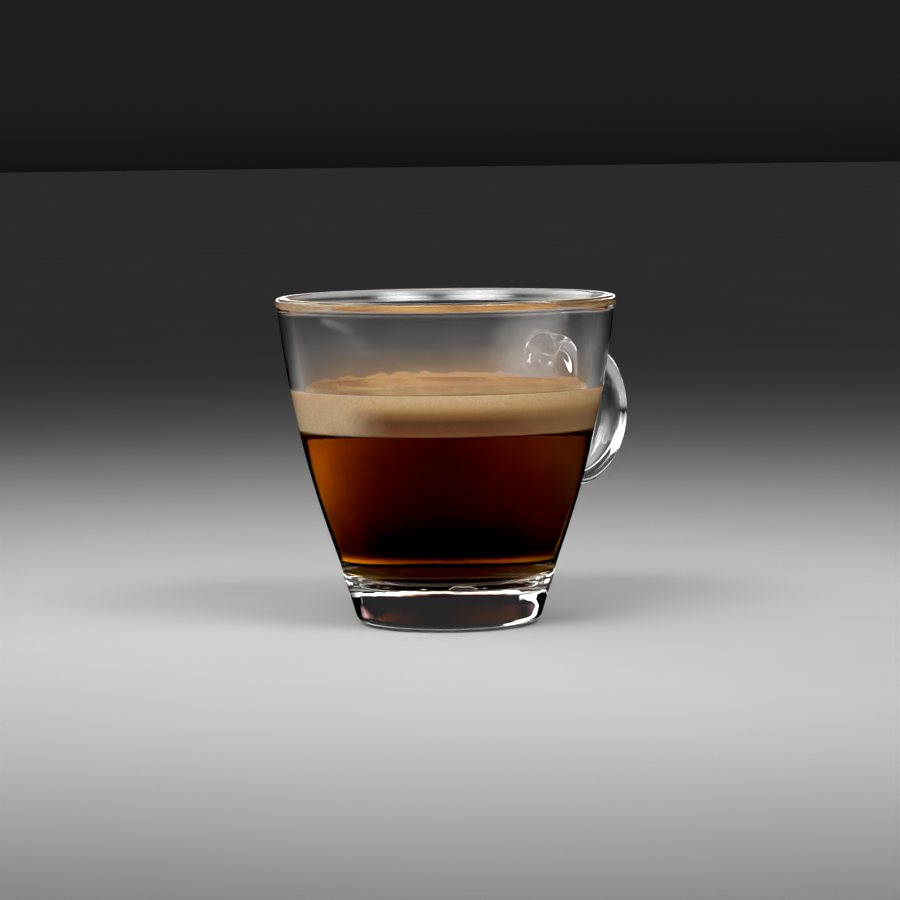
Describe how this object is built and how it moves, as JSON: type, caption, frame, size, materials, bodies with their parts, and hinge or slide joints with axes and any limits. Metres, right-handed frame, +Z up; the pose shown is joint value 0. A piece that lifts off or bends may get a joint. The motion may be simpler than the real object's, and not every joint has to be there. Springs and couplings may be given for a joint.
{
  "type": "espresso in a glass cup",
  "caption": "Dark espresso under a thick pale crema, in a flared clear glass cup with a heavy round foot and a small ring handle.",
  "frame": {"origin": "centre of the cup's flat underside, on the axis of the cup", "axes": "+Z up along the axis of the cup, +X from the axis towards the handle"},
  "size_m": [0.0863, 0.065, 0.0625],
  "materials": {
    "clear_glass": "clear polished pressed glass",
    "coffee": "dark clear liquid, amber where it is thin",
    "crema": "fine wet foam, pale tan to golden brown"
  },
  "bodies": {
    "root": {"glass_cup": "clear_glass", "coffee": "coffee", "crema": "crema"}
  },
  "joints": []
}
